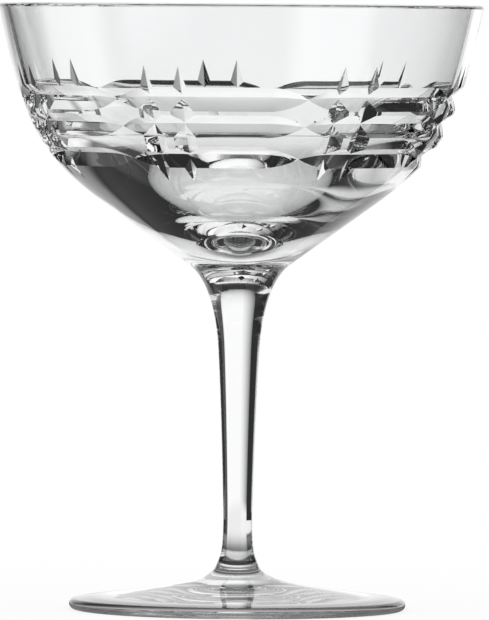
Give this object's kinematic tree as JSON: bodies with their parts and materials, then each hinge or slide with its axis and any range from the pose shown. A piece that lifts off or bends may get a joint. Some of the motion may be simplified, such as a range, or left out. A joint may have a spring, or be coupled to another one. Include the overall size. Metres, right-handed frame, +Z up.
{
  "type": "stemmed glass",
  "caption": "Clear cut-glass stemmed cocktail glass: wide bowl with long horizontal grooves crossed by upright wedge cuts, slim flared stem and round disc foot.",
  "frame": {"origin": "centre of the plane that the foot rests on", "axes": "+Z up along the glass's axis, from the foot to the rim; -Y is the side seen in the picture"},
  "size_m": [0.105, 0.105, 0.1311],
  "materials": {
    "bowl_glass": "fire-polished clear crystal, with polished wheel cuts on the outside",
    "stem_glass": "fire-polished clear crystal",
    "foot_glass": "fire-polished clear crystal, very slightly rippled on top"
  },
  "bodies": {
    "root": {"bowl": "bowl_glass", "stem": "stem_glass", "foot": "foot_glass"}
  },
  "joints": []
}
